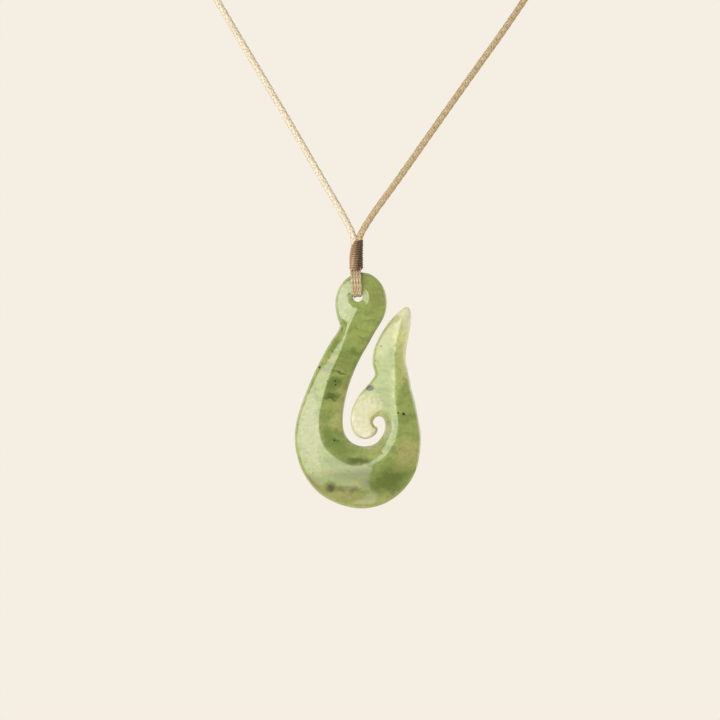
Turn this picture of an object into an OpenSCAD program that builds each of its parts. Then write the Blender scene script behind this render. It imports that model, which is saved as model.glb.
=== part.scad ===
// Hei matau, a carved greenstone fish hook pendant, on a plaited cord worn round the neck.
// Millimetres, +Z up, the pendant's front faces -Y. The origin is the middle of the neck loop.

/* [Hook] */
// Drop from the middle of the neck loop to the centre of the hole
hole_drop = 125; // [124.5:0.1:125.5]
// Distance of the hole in front of the middle of the neck loop
hole_forward = 72; // [71.5:0.1:72.5]
// Thickness of the hook at its ridge, at the thickest place
hook_thickness = 6.2; // [5.6:0.1:6.6]
// Half thickness of the stone where the slopes run out, just inside the rounded edge
edge_half = 1; // [0.7:0.1:1.2]
// Width of the rounded edge
edge_round = 0.8; // [0.4:0.1:1]
// How far the slopes bulge between ridge and edge, as a share of their rise
slope_swell = 0.35; // [0:0.05:0.6]

/* [Hole] */
// Diameter of the drilled hole
hole_d = 2.4; // [2.3:0.05:2.6]
// Diameter of the countersink where it opens on the face
sink_d = 5; // [4.6:0.1:5.4]

/* [Threads and lashing] */
// Diameter of one waxed thread
thread_d = 0.62; // [0.5:0.01:0.64]
// Diameter of the lashing at its middle
lashing_d = 3.5; // [3.4:0.1:3.8]
// Height of the lashing
lashing_h = 7.6; // [7:0.1:7.7]
// Height of the lashing's foot above the centre of the hole
lashing_foot = 6.6; // [6.5:0.05:6.7]

/* [Plaited cord] */
// Diameter of the plaited cord
cord_d = 1.7; // [1.5:0.1:1.7]
// Diameter of the binding at the nape
nape_d = 3.2; // [2.6:0.1:4]

/* [Hidden] */
$fn = 48;
hole_at = [0, -hole_forward, -hole_drop];
half = hook_thickness / 2;
// Half thickness of the eye round its hole
eye_face = 0.85 * half;
// The lashing stands a little to the left of the hole
lashing_x = -0.4;
lashing_top = lashing_foot + lashing_h - hole_drop;

// Small helpers
function mix(a, b, t) = a + (b - a) * t;
function unit(v) = v / norm(v);
function last(list) = list[len(list) - 1];

// A smooth curve through rows of numbers or of points, with the given number of steps from row to row
function curve_at(rows, i, t) =
    let (a = rows[max(i - 1, 0)], b = rows[i], c = rows[i + 1], d = rows[min(i + 2, len(rows) - 1)])
    b + t / 2 * (c - a + t * (2 * a - 5 * b + 4 * c - d + t * (3 * b - a - 3 * c + d)));
function curve(rows, steps) =
    [for (i = [0 : len(rows) - 2]) for (k = [0 : steps - 1]) curve_at(rows, i, k / steps), last(rows)];

// One section of the hook, in the plane of the pendant: x to the right and z up from the hole's centre.
// It runs from the outer edge over the ridge to the inner edge, through two way points on the inner slope.
function row(outer, ridge, inner, thick, way_1 = undef, way_2 = undef) =
    [outer, ridge, is_undef(way_1) ? mix(ridge, inner, 0.4) : way_1,
     is_undef(way_2) ? mix(ridge, inner, 0.7) : way_2, inner, [thick * half, 0]];

// The eye, from its top down to the notch under it: outer edge, ridge, inner edge, share of the thickness
eye_rows = [
    row([0.6, 6.13], [1.05, 6.15], [1.5, 6.13], 0.15),
    row([-1.3, 5.55], [0.95, 5.7], [3.1, 5.75], 0.45),
    row([-2.9, 4.55], [0.8, 4.85], [4.55, 4.8], 0.62),
    row([-4.1, 3.2], [0.6, 3.6], [5.75, 3.5], 0.74),
    row([-5.1, 1.3], [0.3, 1.7], [6.75, 1.7], 0.82),
    row([-5.6, -1], [0, -0.8], [7.25, -0.8], 0.85),
    row([-5.5, -3.1], [-0.3, -3], [7.15, -2.8], 0.87),
    row([-5.1, -5.1], [-1.3, -5.1], [6.6, -4.8], 0.89),
    row([-4.6, -6.6], [-2.15, -6.8], [5.65, -6.6], 0.91),
    row([-4.5, -7.2], [-2.5, -7.7], [5.05, -7.6], 0.92),
    row([-4.85, -8.3], [-2.95, -9], [4.2, -8.95], 0.93)];

// The shank
shank_rows = [
    row([-6.95, -11.5], [-3.8, -11.8], [2.8, -11.5], 0.94),
    row([-8.9, -15], [-5, -15.1], [0.8, -14.95], 0.96),
    row([-10.8, -18.8], [-6.6, -18.9], [-0.95, -18.7], 0.97),
    row([-12.5, -22.7], [-7.85, -22.8], [-2.35, -22.7], 0.98),
    row([-14, -26.6], [-8.85, -26.6], [-3.25, -26.5], 0.99),
    row([-15.2, -30.6], [-9.5, -30.4], [-3.7, -30.2], 1)];

// The bowl, round the outside of the curl
bowl_rows = [
    row([-15.75, -34.6], [-9.4, -34.1], [-3.5, -33.2], 1),
    row([-15.35, -38.9], [-8.3, -37.3], [-2.6, -35.25], 1),
    row([-13.6, -44], [-6.5, -39.5], [-1.2, -36.55], 1),
    row([-9.9, -48.8], [-3.7, -41.2], [0.3, -37.15], 1),
    row([-4.7, -51.75], [-1, -42], [1.4, -37.3], 1),
    row([0.9, -52.85], [1.7, -41.9], [2.4, -37.25], 1),
    row([6.45, -51.75], [4.3, -40.9], [3.6, -37], 1),
    row([11.35, -48.3], [6.7, -39.1], [4.9, -36.2], 0.99),
    row([14.45, -43.6], [8.3, -37], [6, -34.9], 0.98),
    row([15.6, -38.4], [9.3, -34.8], [6.65, -33.5], 0.98),
    row([15.75, -34.7], [9.8, -32.8], [6.85, -32.1], 0.97),
    row([15.4, -32], [9.9, -31.2], [6.65, -30.85], 0.97)];

// The curl, from the top of its round hole past its tip and up its left wall to the nick in the point
curl_rows = [
    row([15, -29.8], [9.8, -29.9], [5.9, -29.95], 0.97, [7.9, -28.8], [6.1, -29.1]),
    row([14.75, -28.4], [9.65, -28.8], [4.6, -30], 0.97, [6.6, -27.9], [4.5, -29.3]),
    row([14.5, -27.2], [9.5, -27.8], [3.83, -31.1], 0.97, [5.4, -27.2], [3.2, -30.1]),
    row([14.25, -26.1], [9.4, -26.8], [4.2, -32.2], 0.97, [4.7, -26.6], [2.4, -31.2]),
    row([14, -25.1], [9.3, -25.9], [5, -32.8], 0.97, [4.1, -26.1], [2, -31.8]),
    row([13.7, -24.1], [9.25, -25], [4.4, -34.35], 0.97, [3.5, -25.7], [1.6, -31.8]),
    row([13.4, -23.1], [9.25, -24.1], [1.9, -35.5], 0.97, [3.1, -25.2], [1.1, -31.5]),
    row([13.1, -22.1], [9.25, -23.2], [-0.5, -34.5], 0.97, [2.9, -24.7], [0.8, -30.7]),
    row([12.85, -21], [9.3, -22.2], [-1.75, -31.6], 0.96, [3, -24.1], [0.6, -29.3]),
    row([12.6, -19.9], [9.3, -21.1], [-1.5, -28.3], 0.96, [3.3, -23.4], [1, -27.1]),
    row([12.4, -18.8], [9.3, -20], [0.3, -24.6], 0.95, [4.2, -22.3], [2.2, -24.3]),
    row([12.25, -17.7], [9.3, -18.7], [2.9, -21.5], 0.94, [5.7, -20.9], [4.2, -21.5]),
    row([12.1, -16.7], [9.3, -17.4], [4.25, -19.4], 0.93)];

// The point, up to its tip
point_rows = [
    row([12, -15.6], [9.3, -16], [3.7, -16.6], 0.92),
    row([12.15, -13.2], [9.35, -13.3], [4.05, -13.3], 0.9),
    row([12.65, -10.2], [9.85, -10.1], [5.35, -10.1], 0.85),
    row([13.1, -7.4], [10.5, -7.2], [7.2, -7.1], 0.76),
    row([13.35, -5], [11.3, -4.8], [9, -4.9], 0.62),
    row([13.15, -3.3], [12, -3.2], [10.75, -3.3], 0.42),
    row([12.55, -2.55], [12.2, -2.5], [11.8, -2.6], 0.16)];

hook_rows = concat(eye_rows, shank_rows, bowl_rows, curl_rows, point_rows);

// Half thickness on a slope: t runs from 0 at the rounded edge to 1 at the ridge
function rise(low, high, t) = low + (high - low) * t * (1 + slope_swell * (1 - t));

// The rounded edge, from its middle inwards
function edge(at, towards, low, width, angles) =
    [for (a = angles) [at + unit(towards - at) * width * (1 - cos(a)), low * sin(a)]];

// The front half of a section, as places with their half thickness
function front_of(s) =
    let (thick = s[5][0],
         low = min(edge_half, 0.6 * thick),
         outer_w = min(edge_round, 0.4 * norm(s[1] - s[0])),
         inner_w = min(edge_round, 0.4 * norm(s[3] - s[4])),
         outer_end = s[0] + unit(s[1] - s[0]) * outer_w,
         inner_end = s[4] + unit(s[3] - s[4]) * inner_w,
         to_way_1 = norm(s[2] - s[1]),
         to_way_2 = to_way_1 + norm(s[3] - s[2]),
         length = to_way_2 + norm(inner_end - s[3]))
    concat([[s[0], 0]],
           edge(s[0], s[1], low, outer_w, [30, 60, 90]),
           [for (t = [1 / 3, 2 / 3]) [mix(outer_end, s[1], t), rise(low, thick, t)]],
           [[s[1], thick],
            [mix(s[1], s[2], 0.5), rise(low, thick, 1 - to_way_1 / 2 / length)],
            [s[2], rise(low, thick, 1 - to_way_1 / length)],
            [s[3], rise(low, thick, 1 - to_way_2 / length)]],
           edge(s[4], s[3], low, inner_w, [90, 60, 30]),
           [[s[4], 0]]);

// The whole section: over the front from edge to edge, and back over the other side
function ring_of(s) =
    let (front = front_of(s), n = len(front))
    concat([for (p = front) [p[0][0], -p[1], p[0][1]]],
           [for (k = [n - 2 : -1 : 1]) [front[k][0][0], front[k][1], front[k][0][1]]]);

// A closed skin over rings of points, each end closed on the middle of its ring
module skin(rings) {
    n = len(rings);
    k = len(rings[0]);
    middles = [for (r = [rings[0], last(rings)]) [for (p = r) 1] * r / k];
    points = concat([for (r = rings) each r], middles);
    sides = [for (i = [0 : n - 2]) for (j = [0 : k - 1])
        let (a = i * k + j, b = i * k + (j + 1) % k)
        each [[a, b, b + k], [a, b + k, a + k]]];
    starts = [for (j = [0 : k - 1]) [n * k, (j + 1) % k, j]];
    ends = [for (j = [0 : k - 1]) [n * k + 1, (n - 1) * k + j, (n - 1) * k + (j + 1) % k]];
    polyhedron(points, concat(sides, starts, ends));
}

module hook() {
    reach = hook_thickness;
    color("darkseagreen") translate(hole_at) difference() {
        skin([for (s = curve(hook_rows, 2)) ring_of(s)]);
        rotate([90, 0, 0]) cylinder(h = 2 * reach, d = hole_d, center = true);
        for (side = [0, 180]) rotate([90 + side, 0, 0]) countersink();
    }
}

// The countersink opens at 45 degrees to its full diameter just on the face of the eye
module countersink() {
    depth = (sink_d - hole_d) / 2;
    over = 1;
    translate([0, 0, eye_face - depth]) cylinder(h = depth + over, d1 = hole_d, d2 = sink_d + 2 * over);
}

// One ring of a tube, square to the direction in which the tube runs there
function ring_at(p, along, d, sides) =
    let (u = unit(cross(along, abs(along[0]) > 0.9 * norm(along) ? [0, 0, 1] : [1, 0, 0])),
         v = cross(unit(along), u))
    [for (k = [0 : sides - 1]) p + d / 2 * (u * cos(360 * k / sides) + v * sin(360 * k / sides))];

// A round tube along a route, from one of its points to another
module tube(route, d, from, to, sides = 8) {
    n = len(route);
    skin([for (i = [from : to])
        ring_at(route[i], route[min(i + 1, n - 1)] - route[max(i - 1, 0)], d, sides)]);
}

// A thread's way over the front of the eye, as height above the hole's centre and distance from the middle plane
straight_z = lashing_foot - 0.15;
thread_way = [[lashing_foot, 1.08], [straight_z, 1.08], [6.1, 2.2], [5.15, 2.83], [3.9, 2.97]];
thread_over_rim = 3;
thread_clear = 0.12;
thread_x = -0.42;
thread_pitch = 0.66;
rim_pitch = 0.72;
// Turn round the hole's axis from one thread to the next where they pass through the hole
thread_turn = 54;
rim_r = 2.35;
rim_x = -0.03;

// How far from the middle plane a thread lies against the cone of the countersink, at a distance r from its axis
function cone_y(r) = eye_face - sink_d / 2 + r + (thread_d / 2 + thread_clear) * sqrt(2);
function thread_front(s) =
    let (foot_x = thread_x + s * thread_pitch,
         over_x = rim_x + s * rim_pitch,
         rim = [over_x, sqrt(rim_r * rim_r - over_x * over_x)],
         in_hole = hole_d / 2 - thread_d / 2 - thread_clear,
         low = [in_hole * sin(thread_turn * s), in_hole * cos(thread_turn * s)])
    concat([for (w = thread_way)
                [mix(rim[0], foot_x, min(1, (w[0] - rim[1]) / (straight_z - rim[1]))), -w[1], w[0]]],
           [[rim[0], -thread_over_rim, rim[1]]],
           [for (t = [0.5, 1]) let (p = mix(rim, low, t)) [p[0], -cone_y(norm(p)), p[1]]]);
module eye_strand(s) {
    front = thread_front(s);
    n = len(front);
    route = concat(front, [for (k = [n - 1 : -1 : 0]) [front[k][0], -front[k][1], front[k][2]]]);
    color("burlywood") translate(hole_at) tube(route, thread_d, 0, 2 * n - 1);
}

module lashing() {
    r = lashing_d / 2;
    h = lashing_h;
    color("saddlebrown") translate(hole_at + [lashing_x, 0, lashing_foot])
        rotate_extrude() polygon([[0, 0], [r - 0.02, 0], [r, 0.35 * h], [r, 0.7 * h], [r - 0.05, h], [0, h]]);
}

// The plaited cord's two sides, from the top of the lashing to the binding at the nape
function up_from(x) = [[x, -hole_forward, lashing_top], [x, -hole_forward, lashing_top + 0.8]];
left_route = concat(up_from(-1.3), [[-3, -70.4, -105.8], [-8.7, -66, -95.8],
    [-20.3, -55.5, -75.8], [-35, -41.5, -50.8], [-48.5, -28.5, -27], [-57.5, -17, -9], [-62, -8, 2],
    [-64, 3, 10], [-63.5, 14, 16], [-60, 27, 21.5], [-53, 39, 26], [-43, 49, 29.5], [-31, 56.5, 32],
    [-18, 61, 33], [-8, 62, 33], [-6, 62, 33]]);
right_route = concat(up_from(0.5), [[2.8, -70.4, -105.8], [9.9, -66, -95.8],
    [23.9, -55.5, -75.8], [41.4, -41.5, -50.8], [53.5, -28.5, -31], [60.5, -17, -12], [63, -8, 1],
    [64, 3, 9.5], [63.5, 14, 16], [60, 27, 21.5], [53, 39, 26], [43, 49, 29.5], [31, 56.5, 32],
    [18, 61, 33], [8, 62, 33], [6, 62, 33]]);
neck_start = 8;
module cord_piece(route, from, to) {
    color("tan") tube(route, cord_d, from, to);
}

module nape_binding() {
    at = last(right_route);
    color("sienna") translate([0, at[1], at[2]]) rotate([0, 90, 0])
        cylinder(h = 2 * at[0], d = nape_d, center = true);
}

hook();
eye_strand(-1.5);  // eye_strand_1
eye_strand(-0.5);  // eye_strand_2
eye_strand(0.5);  // eye_strand_3
eye_strand(1.5);  // eye_strand_4
lashing();
cord_piece(left_route, 0, neck_start);  // front_cord_left
cord_piece(right_route, 0, neck_start);  // front_cord_right
cord_piece(left_route, neck_start, len(left_route) - 1);  // neck_cord_left
cord_piece(right_route, neck_start, len(right_route) - 1);  // neck_cord_right
nape_binding();
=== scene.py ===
import math
from functools import partial

import bmesh
import bpy
import numpy as np
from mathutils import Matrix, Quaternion, Vector
from mathutils.geometry import delaunay_2d_cdt


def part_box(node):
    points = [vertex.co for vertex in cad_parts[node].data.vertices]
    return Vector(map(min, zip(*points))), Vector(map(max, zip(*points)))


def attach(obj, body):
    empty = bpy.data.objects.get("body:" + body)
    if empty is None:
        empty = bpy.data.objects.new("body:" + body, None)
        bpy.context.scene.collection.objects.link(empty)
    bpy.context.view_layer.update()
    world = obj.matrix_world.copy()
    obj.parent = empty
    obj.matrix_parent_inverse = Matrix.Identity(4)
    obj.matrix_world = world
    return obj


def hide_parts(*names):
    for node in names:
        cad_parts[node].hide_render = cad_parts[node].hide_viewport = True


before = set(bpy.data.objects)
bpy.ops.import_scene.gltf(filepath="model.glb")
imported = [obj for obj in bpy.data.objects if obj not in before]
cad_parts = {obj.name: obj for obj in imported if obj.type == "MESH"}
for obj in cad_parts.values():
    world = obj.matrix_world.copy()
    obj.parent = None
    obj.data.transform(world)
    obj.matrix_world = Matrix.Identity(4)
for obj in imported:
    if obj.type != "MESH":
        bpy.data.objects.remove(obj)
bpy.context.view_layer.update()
scene = bpy.context.scene
mm = 0.001
holeAt = Vector((0, -72, -125)) * mm

# The camera looks along +Y, level with the hook, with a long lens
camera = {
    "aim": (0.56, -72, -140.75),  # mm, what stands in the middle of the picture
    "width": 180,  # mm across the picture where the hook hangs
    "distance": 3000,  # mm
    "sensor": 36,  # mm
    "clip": (0.1, 100),  # m
}


def addObject(name, data):
    obj = bpy.data.objects.new(name, data)
    scene.collection.objects.link(obj)
    return obj


def makeCamera(c):
    data = bpy.data.cameras.new("camera")
    data.sensor_width = c["sensor"]
    data.lens = c["sensor"] * c["distance"] / c["width"]
    data.clip_start, data.clip_end = c["clip"]
    obj = addObject("camera", data)
    obj.location = (Vector(c["aim"]) - Vector((0, c["distance"], 0))) * mm
    obj.rotation_euler = (math.pi / 2, 0, 0)
    scene.camera = obj


makeCamera(camera)
print("camera placed")


def linear(hexColour):
    # sRGB hex to linear RGBA
    parts = [int(hexColour[i:i + 2], 16) / 255 for i in (1, 3, 5)]
    return (*[c / 12.92 if c <= 0.04045 else ((c + 0.055) / 1.055) ** 2.4 for c in parts], 1)


def setInputs(tree, node, inputs):
    # an input gets a value, a socket's link, or the link of a node's first output
    for key, value in inputs.items():
        if isinstance(value, bpy.types.Node):
            value = value.outputs[0]
        if isinstance(value, bpy.types.NodeSocket):
            tree.links.new(value, node.inputs[key])
        else:
            node.inputs[key].default_value = value


def addNode(tree, kind, inputs=None, **settings):
    # one node with its settings and its inputs
    node = tree.nodes.new(kind)
    for name, value in settings.items():
        setattr(node, name, value)
    setInputs(tree, node, inputs or {})
    return node


def maths(add, operation, *values):
    # a number worked out from up to three others
    return add("ShaderNodeMath", dict(enumerate(values)), operation=operation)


def mixed(add, share, one, other):
    # a colour between two
    return add("ShaderNodeMix", {0: share, 6: one, 7: other}, data_type="RGBA").outputs[2]


def eased(add, value, start=(0, 1), end=(0, 1)):
    # maps the first range to the second, starting and ending softly
    return add("ShaderNodeMapRange", {"Value": value, "From Min": start[0], "From Max": start[1],
                                      "To Min": end[0], "To Max": end[1]}, interpolation_type="SMOOTHSTEP")


def newMaterial(name):
    # an empty material, its tree and its shader
    material = bpy.data.materials.new(name)
    material.use_nodes = True
    return material, material.node_tree, material.node_tree.nodes["Principled BSDF"]


def throughPoints(points, closed=False, perStep=24):
    # a smooth line through the points, which may be unevenly spaced
    p = np.array(points, float)
    if closed:
        p = np.vstack([p[-1:], p, p[:2]])
    else:
        p = np.vstack([2 * p[:1] - p[1:2], p, 2 * p[-1:] - p[-2:-1]])
    knots = np.concatenate([[0], np.cumsum(np.sqrt(np.linalg.norm(np.diff(p, axis=0), axis=1)) + 1e-9)])
    line = []
    for i in range(1, len(p) - 2):
        t = np.linspace(knots[i], knots[i + 1], perStep, endpoint=False)[:, None]
        k = knots[i - 1:i + 3]
        a = [(p[i - 1 + j] * (k[j + 1] - t) + p[i + j] * (t - k[j])) / (k[j + 1] - k[j]) for j in range(3)]
        b = [(a[j] * (k[j + 2] - t) + a[j + 1] * (t - k[j])) / (k[j + 2] - k[j]) for j in range(2)]
        line.append((b[0] * (k[2] - t) + b[1] * (t - k[1])) / (k[2] - k[1]))
    line = np.vstack(line)
    return line if closed else np.vstack([line, p[-2:-1]])


def evenly(line, step, closed=False):
    # the same line with its points a step apart
    p = np.vstack([line, line[:1]]) if closed else line
    along = np.concatenate([[0], np.cumsum(np.linalg.norm(np.diff(p[:, :3], axis=0), axis=1))])
    count = max(2, int(round(along[-1] / step)))
    at = np.linspace(0, along[-1], count + 1)[:count if closed else count + 1]
    return np.stack([np.interp(at, along, p[:, k]) for k in range(p.shape[1])], axis=1)


def lengthOf(line):
    return float(np.linalg.norm(np.diff(line, axis=0), axis=1).sum())


def meshObject(name, verts, faces, material, smooth=True):
    mesh = bpy.data.meshes.new(name)
    mesh.from_pydata([tuple(v) for v in verts], [], [tuple(f) for f in faces])
    mesh.materials.append(material)
    mesh.polygons.foreach_set("use_smooth", [smooth] * len(mesh.polygons))
    return addObject(name, mesh)


def routeObject(name, points):
    # an open chain of edges, which the geometry trees turn into a curve
    mesh = bpy.data.meshes.new(name)
    mesh.from_pydata([tuple(p) for p in points], [(i, i + 1) for i in range(len(points) - 1)], [])
    return addObject(name, mesh)


def newTree(name, sizes, onMesh):
    # a geometry tree with an input for each size and one for the material
    tree = bpy.data.node_groups.new(name, "GeometryNodeTree")
    inputs = [("Geometry", "NodeSocketGeometry")] if onMesh else []
    inputs += [(size, "NodeSocketFloat") for size in sizes] + [("Material", "NodeSocketMaterial")]
    for label, kind in inputs:
        tree.interface.new_socket(label, in_out="INPUT", socket_type=kind)
    tree.interface.new_socket("Geometry", in_out="OUTPUT", socket_type="NodeSocketGeometry")
    add = partial(addNode, tree)
    return tree, add, add("NodeGroupInput").outputs


def unevenly(add, given, along, humpsPerMetre, seed, detail, value):
    # the value, made uneven along the thread, as hand work leaves it
    noiseAt = maths(add, "MULTIPLY_ADD", along, humpsPerMetre, seed)
    noise = add("ShaderNodeTexNoise", {"W": noiseAt, "Scale": 1.0, "Detail": detail}, noise_dimensions="1D")
    centred = maths(add, "SUBTRACT", noise, 0.5)
    return maths(add, "MULTIPLY_ADD", centred, given["Unevenness"], value)


def endTree(add, joined, material):
    # the way round each strand and along it, in mm, is kept for the material
    along = add("GeometryNodeInputNamedAttribute", {"Name": "along"})
    around = add("GeometryNodeInputNamedAttribute", {"Name": "around"})
    alongMm = maths(add, "MULTIPLY", along, 1000.0)
    way = add("ShaderNodeCombineXYZ", {0: around, 1: alongMm})
    kept = add("GeometryNodeStoreNamedAttribute", {"Geometry": joined, "Name": "strandWay", "Value": way},
               data_type="FLOAT_VECTOR")
    soft = add("GeometryNodeSetShadeSmooth", {0: kept})
    real = add("GeometryNodeRealizeInstances", {0: soft})
    painted = add("GeometryNodeSetMaterial", {"Geometry": real, "Material": material})
    add("NodeGroupOutput", {0: painted})


def applied(obj, tree, sizes, values):
    # runs a geometry tree on the object with sizes in mm and other values, and keeps the result as its mesh
    values = {name: size * mm for name, size in sizes.items()} | values
    modifier = obj.modifiers.new("tree", "NODES")
    modifier.node_group = tree
    for item in tree.interface.items_tree:
        if item.item_type == "SOCKET" and item.in_out == "INPUT" and item.name in values:
            modifier[item.identifier] = values[item.name]
    graph = bpy.context.evaluated_depsgraph_get()
    mesh = bpy.data.meshes.new_from_object(obj.evaluated_get(graph), depsgraph=graph)
    obj.modifiers.remove(modifier)
    obj.data = mesh


# Linen thread, twisted from plies and drawn through wax: matt, with plies that show as slanting lines along
# each strand and painted shade in the grooves between them, short fibres that stand up from it, and dye
# that took unevenly
threadFinishAndPaintedLight = {
    "fibres": 2600,  # per metre, 0.4 mm apart: real ones are finer, and are drawn coarse enough to show
    "dye": 420,  # per metre: blotches about 2.4 mm wide
    "relief": 0.05,  # mm, how deep the lines between plies look
    "specular": 0.2,  # wax dulls the thread
    "paintedLightSpan": (-1.9, 0.3),  # mm across, from the side painted lighter as painted light to the side painted darker as painted shade
}


# paintedLightScale, where given, scales the colour across the thread: painted light on one side, painted
# shade on the other
def makeThread(name, light, dark, plyGrooveShade, plies, twist, roughness, paintedLightScale=None):
    material, tree, shader = newMaterial(name)
    add = partial(addNode, tree)
    way = add("ShaderNodeAttribute", attribute_name="strandWay")
    split = add("ShaderNodeSeparateXYZ", {0: way.outputs["Vector"]})
    slant = maths(add, "MULTIPLY_ADD", split.outputs["Y"], twist, split.outputs["X"])
    turned = maths(add, "MULTIPLY", slant, 2 * math.pi * plies)
    wave = maths(add, "SINE", turned)
    place = add("ShaderNodeTexCoord").outputs["Object"]
    fibre = add("ShaderNodeTexNoise",
                {"Vector": place, "Scale": threadFinishAndPaintedLight["fibres"], "Detail": 3, "Roughness": 0.6})
    dye = add("ShaderNodeTexNoise", {"Vector": place, "Scale": threadFinishAndPaintedLight["dye"], "Detail": 2})
    ply = eased(add, wave, (-1, 0.2))
    body = mixed(add, dye, linear(dark), linear(light))
    # painted shade: the grooves between plies are painted in the darker groove colour
    colour = mixed(add, ply, linear(plyGrooveShade), body)
    if paintedLightScale:  # painted light: paler towards -X, where the lamp stands, and painted shade: darker towards +X
        low, high = threadFinishAndPaintedLight["paintedLightSpan"]
        sides = add("ShaderNodeSeparateXYZ", {0: place})
        ramp = eased(add, sides.outputs["X"], (low * mm, high * mm), paintedLightScale)
        colour = add("ShaderNodeVectorMath", {0: colour, "Scale": ramp}, operation="SCALE")
    height = maths(add, "MULTIPLY_ADD", fibre, 0.25, ply)
    bump = add("ShaderNodeBump",
               {"Height": height, "Strength": 0.5, "Distance": threadFinishAndPaintedLight["relief"] * mm})
    setInputs(tree, shader,
              {"Base Color": colour, "Normal": bump, "Roughness": roughness,
               "Specular IOR Level": threadFinishAndPaintedLight["specular"]})
    return material


# The strand's light and dark tones and the painted shade in the grooves between plies; then plies, turns
# per mm and roughness
waxedThread = makeThread("waxedLinenThread", "#C0B299", "#A99677", "#7A6648", 3, 0.3, 0.6)
cordThread = {
    "left": makeThread("plaitedLinenThread", "#CDC7B6", "#BCB098", "#B0A48B", 3, 0.3, 0.65),
    # the right run is given darker tones than the left
    "right": makeThread("plaitedLinenThreadDarker", "#B7A88A", "#A28E6B", "#96815D", 3, 0.3, 0.65),
}
brownThread = {
    # the lashing's colour is scaled from 2.4 on its left, as painted light, to 0.62 on its right, as
    # painted shade
    "lashing": makeThread("waxedBrownThread", "#7F6A55", "#614D3B", "#523F2E", 2, 0.5, 0.6, (2.4, 0.62)),
    "nape_binding": makeThread("waxedBrownThreadWithoutPaintedLight", "#6E5540", "#523D2B", "#3D2A1B", 2, 0.5, 0.6),
}


def strandTree(name, strands, sides, withCore):
    # lays strands round a route; each strand is (direction, start angle) and may weave in and out
    sizes = ("Ring spacing", "Turn length", "Lay radius", "Weave depth", "Strand width", "Strand depth",
             "Core radius", "Unevenness", "Seed")
    tree, add, given = newTree(name, sizes, True)
    curve = add("GeometryNodeMeshToCurve", {"Mesh": given["Geometry"]})
    rings = add("GeometryNodeResampleCurve", {"Curve": curve, "Length": given["Ring spacing"]},
                mode="LENGTH")
    along = add("GeometryNodeSplineParameter").outputs["Length"]
    measured = add("GeometryNodeStoreNamedAttribute", {"Geometry": rings, "Name": "along", "Value": along})
    tangent = add("GeometryNodeInputTangent")
    normal = add("GeometryNodeInputNormal")
    across = add("ShaderNodeVectorMath", {0: tangent, 1: normal}, operation="CROSS_PRODUCT")
    share = maths(add, "DIVIDE", along, given["Turn length"])
    turn = maths(add, "MULTIPLY", share, 2 * math.pi)
    double = maths(add, "MULTIPLY", turn, 2)
    swing = maths(add, "COSINE", double)
    weave = maths(add, "MULTIPLY", swing, given["Weave depth"])
    # the strand's section: an ellipse whose seam lies on the inside
    circle = add("GeometryNodeCurvePrimitiveCircle", {"Resolution": sides, "Radius": 0.5})
    sectionSize = add("ShaderNodeCombineXYZ", {0: given["Strand depth"], 1: given["Strand width"], 2: 1.0})
    section = add("GeometryNodeTransform", {"Geometry": circle.outputs["Curve"], "Scale": sectionSize})
    factor = add("GeometryNodeSplineParameter").outputs["Factor"]
    around = add("GeometryNodeStoreNamedAttribute",
                 {"Geometry": section, "Name": "around", "Value": factor})
    joined = add("GeometryNodeJoinGeometry")
    for number, (direction, start) in enumerate(strands):
        angle = maths(add, "MULTIPLY_ADD", turn, direction, start)
        cosine = maths(add, "COSINE", angle)
        sine = maths(add, "SINE", angle)
        onNormal = add("ShaderNodeVectorMath", {0: normal, "Scale": cosine}, operation="SCALE")
        onAcross = add("ShaderNodeVectorMath", {0: across, "Scale": sine}, operation="SCALE")
        outward = add("ShaderNodeVectorMath", {0: onNormal, 1: onAcross}, operation="ADD")
        radius = maths(add, "MULTIPLY_ADD", weave, direction, given["Lay radius"])
        kept = add("GeometryNodeStoreNamedAttribute",
                   {"Geometry": measured, "Name": "outward", "Value": outward}, data_type="FLOAT_VECTOR")
        # a hump every 2.5 mm, and each strand has its own
        ownSeed = maths(add, "ADD", given["Seed"], 17.0 * number)
        humps = unevenly(add, given, along, 400.0, ownSeed, 1.0, radius)
        offset = add("ShaderNodeVectorMath", {0: outward, "Scale": humps}, operation="SCALE")
        moved = add("GeometryNodeSetPosition", {"Geometry": kept, "Offset": offset})
        held = add("GeometryNodeInputNamedAttribute", {"Name": "outward"}, data_type="FLOAT_VECTOR")
        turned = add("GeometryNodeSetCurveNormal", {"Curve": moved, "Normal": held}, mode="FREE")
        tube = add("GeometryNodeCurveToMesh", {"Curve": turned, "Profile Curve": around, "Fill Caps": True})
        setInputs(tree, joined, {0: tube})
    if withCore:
        middle = add("GeometryNodeCurvePrimitiveCircle", {"Resolution": 8, "Radius": given["Core radius"]})
        core = add("GeometryNodeCurveToMesh",
                   {"Curve": measured, "Profile Curve": middle.outputs["Curve"], "Fill Caps": True})
        setInputs(tree, joined, {0: core})
    endTree(add, joined, given["Material"])
    return tree


plaitTree = strandTree("fourStrandPlait", [(1, 0), (1, math.pi), (-1, 0), (-1, math.pi)], 12, True)
threePlies = [(1, 0), (1, 2 * math.pi / 3), (1, 4 * math.pi / 3)]
twistTree = strandTree("threePlyThread", threePlies, 12, False)

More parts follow.
